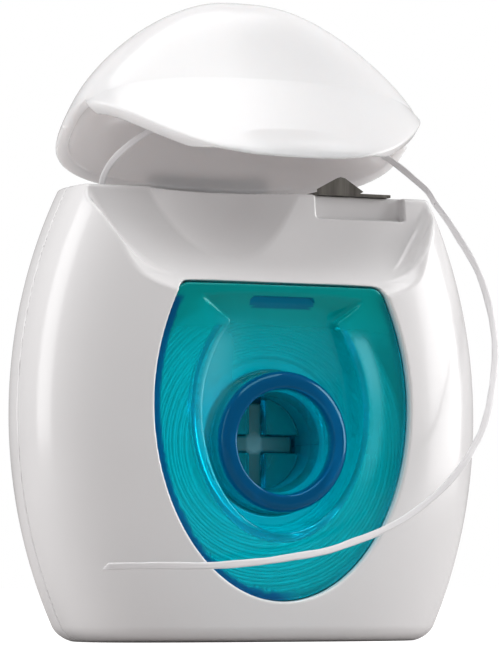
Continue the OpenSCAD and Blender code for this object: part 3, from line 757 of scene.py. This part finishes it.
def painted_reflection(x, y, z):
    """Painted reflection: a whitish patch on the dish's left wall, and a blade of it along the dish's right
    side.
    """
    wall = np.exp(-(dish_field(x, y, z) / 0.6) ** 2) * fade(-x, 2.5, 7.0)
    wall *= fade(z, 14, 27) * fade(-z, -33.5, -30)
    from_dish = shield(x, z, DISH_HALF, DISH_MID, DISH_LOW, DISH_TOP + 9, DISH_K)
    blade = fade(from_dish, 0.3, 0.8) * fade(-from_dish, -2.6, -1.6) * fade(x, 5.5, 7.5)
    blade *= fade(-z, -32.0, -30.5) * (0.35 * fade(z, 13, 20) + 0.35 * fade(z, 23, 28)) * fade(-y, 7.5, 8.5)
    return np.maximum(0.75 * wall, blade)


def painted_bar_shade(x, y, z):
    """Painted shade, a darker green, on the bar of the window above the dish and the ramp below it."""
    return 0.75 * fade(z, 29.0, 35.0) * fade(-y, 6.5, 8.5)


def painted_hub_shade(x, y, z):
    """Painted shade, dark teal, on the end of the rear shell's cross seen down the tube, lighter at its
    middle.
    """
    r = ring_radius(x, z)
    return fade(-r, -5.2, -4.9) * fade(-y, -0.5, 0.0) * (0.96 - 0.5 * fade(-r, -1.3, -0.5))


moulded("front_shell_moulding", front_shell_field, (-26, -11.2, -0.6), (26, 0.4, 47), 0.24,
        CASE_WHITE, "case", ["front_shell"])
moulded("rear_shell_moulding", rear_shell_field, (-26, -3.4, -0.6), (26, 11.2, 47), 0.26,
        CASE_WHITE, "case", ["rear_shell"], paints={"painted_hub_shade": painted_hub_shade})
moulded("window_moulding", insert_field, (-15, -11, 3.5), (15, 7.2, 37.2), 0.2,
        WINDOW_TEAL, "case", ["window_insert"], keep=0.5,
        paints={"painted_edge_blue": painted_edge_blue, "painted_reflection": painted_reflection, "painted_bar_shade": painted_bar_shade})
open_by = math.radians(-LID_OPEN)
turn = np.array([[1, 0, 0],
                 [0, math.cos(open_by), -math.sin(open_by)],
                 [0, math.sin(open_by), math.cos(open_by)]])
hinge_point = np.array([0, HINGE_Y, HINGE_Z])
moulded("lid_moulding", lid_field, (-21.5, -11, 33.6), (21.5, 10.4, 60.2), 0.2,
        LID_WHITE, "lid", ["lid"], place=(turn, hinge_point - turn @ hinge_point))

# ------------------------------------------------------------------ winding
def spiral_tube(name, r0, r1, y, wire, turns, per_turn, sides, material):
    total = int(turns * per_turn)
    rng = np.random.default_rng(7)
    wobble = np.cumsum(rng.normal(0, 0.010, total + 1))
    wobble -= np.linspace(0, wobble[-1], total + 1)
    points, faces = [], []
    for i in range(total + 1):
        a = 2 * math.pi * i / per_turn
        r = r0 + (r1 - r0) * i / total + 0.5 * wobble[i]
        out = np.array([math.cos(a), 0, math.sin(a)])
        centre = np.array([0, y + 0.05 * math.sin(i * 0.37), HUB_Z]) + r * out
        for k in range(sides):
            b = 2 * math.pi * k / sides
            points.append(centre + wire * (math.cos(b) * out + math.sin(b) * np.array([0, 1, 0])))
    for i in range(total):
        for k in range(sides):
            m = (k + 1) % sides
            faces.append((i * sides + k, (i + 1) * sides + k, (i + 1) * sides + m, i * sides + m))
    faces.append(tuple(range(sides)))
    faces.append(tuple(total * sides + k for k in reversed(range(sides))))
    return mesh_object(name, points, faces, material)


def revolve(name, profile, segments, material):
    """Profile of (radius, y) turned about the spool's axis into a closed ring."""
    points, faces = [], []
    n = len(profile)
    for i in range(segments):
        a = 2 * math.pi * i / segments
        for r, y in profile:
            points.append((r * math.cos(a), y, HUB_Z + r * math.sin(a)))
    for i in range(segments):
        j = (i + 1) % segments
        for k in range(n):
            m = (k + 1) % n
            faces.append((i * n + k, j * n + k, j * n + m, i * n + m))
    return mesh_object(name, points, faces, material)


wound_front = SPOOL_FRONT + 0.3
drum = revolve("floss_wound", [(CORE_R + 0.03, wound_front - 0.04), (WOUND_R - 0.3, wound_front - 0.04),
                               (WOUND_R, wound_front + 0.4), (WOUND_R, SPOOL_FRONT + SPOOL_W - 0.7),
                               (WOUND_R - 0.3, SPOOL_FRONT + SPOOL_W - 0.3),
                               (CORE_R + 0.03, SPOOL_FRONT + SPOOL_W - 0.3)], 96, SPOOL_WHITE)
turns_seen = spiral_tube("floss_turns", CORE_R + 0.35, WOUND_R - 0.3, wound_front, wire=0.19,
                         turns=19, per_turn=60, sides=6, material=SPOOL_WHITE)
for piece in (drum, turns_seen):
    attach(piece, "spool")
    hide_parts("floss_winding")

# ------------------------------------------------------------------ CAD nodes that stay
def dress(name, material, bevel_mm=0.0):
    part = NODES[name]
    part.data.materials.clear()
    part.data.materials.append(material)
    if bevel_mm:
        weld = part.modifiers.new("weld", "WELD")
        weld.merge_threshold = 1e-6
        edge = part.modifiers.new("edge", "BEVEL")
        edge.width, edge.segments, edge.limit_method = bevel_mm * MM, 2, "ANGLE"
        edge.angle_limit = math.radians(35)


dress("cutter_blade", CUTTER_STEEL, 0.03)
dress("hinge_web", CASE_WHITE)
dress("spool_core", SPOOL_WHITE)

# ------------------------------------------------------------------ stage and light
mat, tree, shader = new_material("floor")
shader.inputs["Base Color"].default_value = (0.90, 0.885, 0.88, 1)
shader.inputs["Roughness"].default_value = 0.2
shader.inputs["Specular IOR Level"].default_value = 0.25
glow = node(tree, "ShaderNodeEmission", Color=(1, 1, 1, 1), Strength=0.8)
dull = node(tree, "ShaderNodeBsdfDiffuse", Color=(0.5, 0.48, 0.475, 1))
both = tree.nodes.new("ShaderNodeAddShader")
path = tree.nodes.new("ShaderNodeLightPath")
pick = tree.nodes.new("ShaderNodeMixShader")
tree.links.new(shader.outputs["BSDF"], both.inputs[0])
tree.links.new(glow.outputs["Emission"], both.inputs[1])
tree.links.new(path.outputs["Is Camera Ray"], pick.inputs[0])
tree.links.new(dull.outputs["BSDF"], pick.inputs[1])
tree.links.new(both.outputs["Shader"], pick.inputs[2])
tree.links.new(pick.outputs["Shader"], tree.nodes["Material Output"].inputs["Surface"])
floor = mesh_object("floor", [(-3000, -3000, 0), (3000, -3000, 0), (3000, 3000, 0), (-3000, 3000, 0)],
                    [(0, 1, 2, 3)], mat, smooth=False)

world = bpy.data.worlds.new("world")
bpy.context.scene.world = world
world.use_nodes = True
wt = world.node_tree
background = wt.nodes["Background"]
background.inputs["Color"].default_value = (1.0, 0.975, 0.975, 1)
background.inputs["Strength"].default_value = 0.26
seen = wt.nodes.new("ShaderNodeBackground")
seen.inputs["Color"].default_value = (1, 1, 1, 1)
seen.inputs["Strength"].default_value = 1.0
wpath = wt.nodes.new("ShaderNodeLightPath")
wmix = wt.nodes.new("ShaderNodeMixShader")
wt.links.new(wpath.outputs["Is Camera Ray"], wmix.inputs[0])
wt.links.new(background.outputs["Background"], wmix.inputs[1])
wt.links.new(seen.outputs["Background"], wmix.inputs[2])
wt.links.new(wmix.outputs["Shader"], wt.nodes["World Output"].inputs["Surface"])


def softbox(name, at, size, power, aim_at=(0, 0, 30)):
    light = bpy.data.lights.new(name, "AREA")
    light.shape = "RECTANGLE"
    light.size, light.size_y = size[0] * MM, size[1] * MM
    light.energy = power
    made = bpy.data.objects.new(name, light)
    bpy.context.scene.collection.objects.link(made)
    made.location = Vector(at) * MM
    made.rotation_mode = "QUATERNION"
    made.rotation_quaternion = (Vector(aim_at) * MM - made.location).to_track_quat("-Z", "Y")
    return made


softbox("left_box", (-350, 30, 130), (200, 320), 0.8)
softbox("right_box", (355, -115, 130), (220, 320), 1.2)
softbox("top_box", (-20, -90, 430), (380, 300), 1.25)

bpy.context.scene.view_settings.view_transform = "Standard"
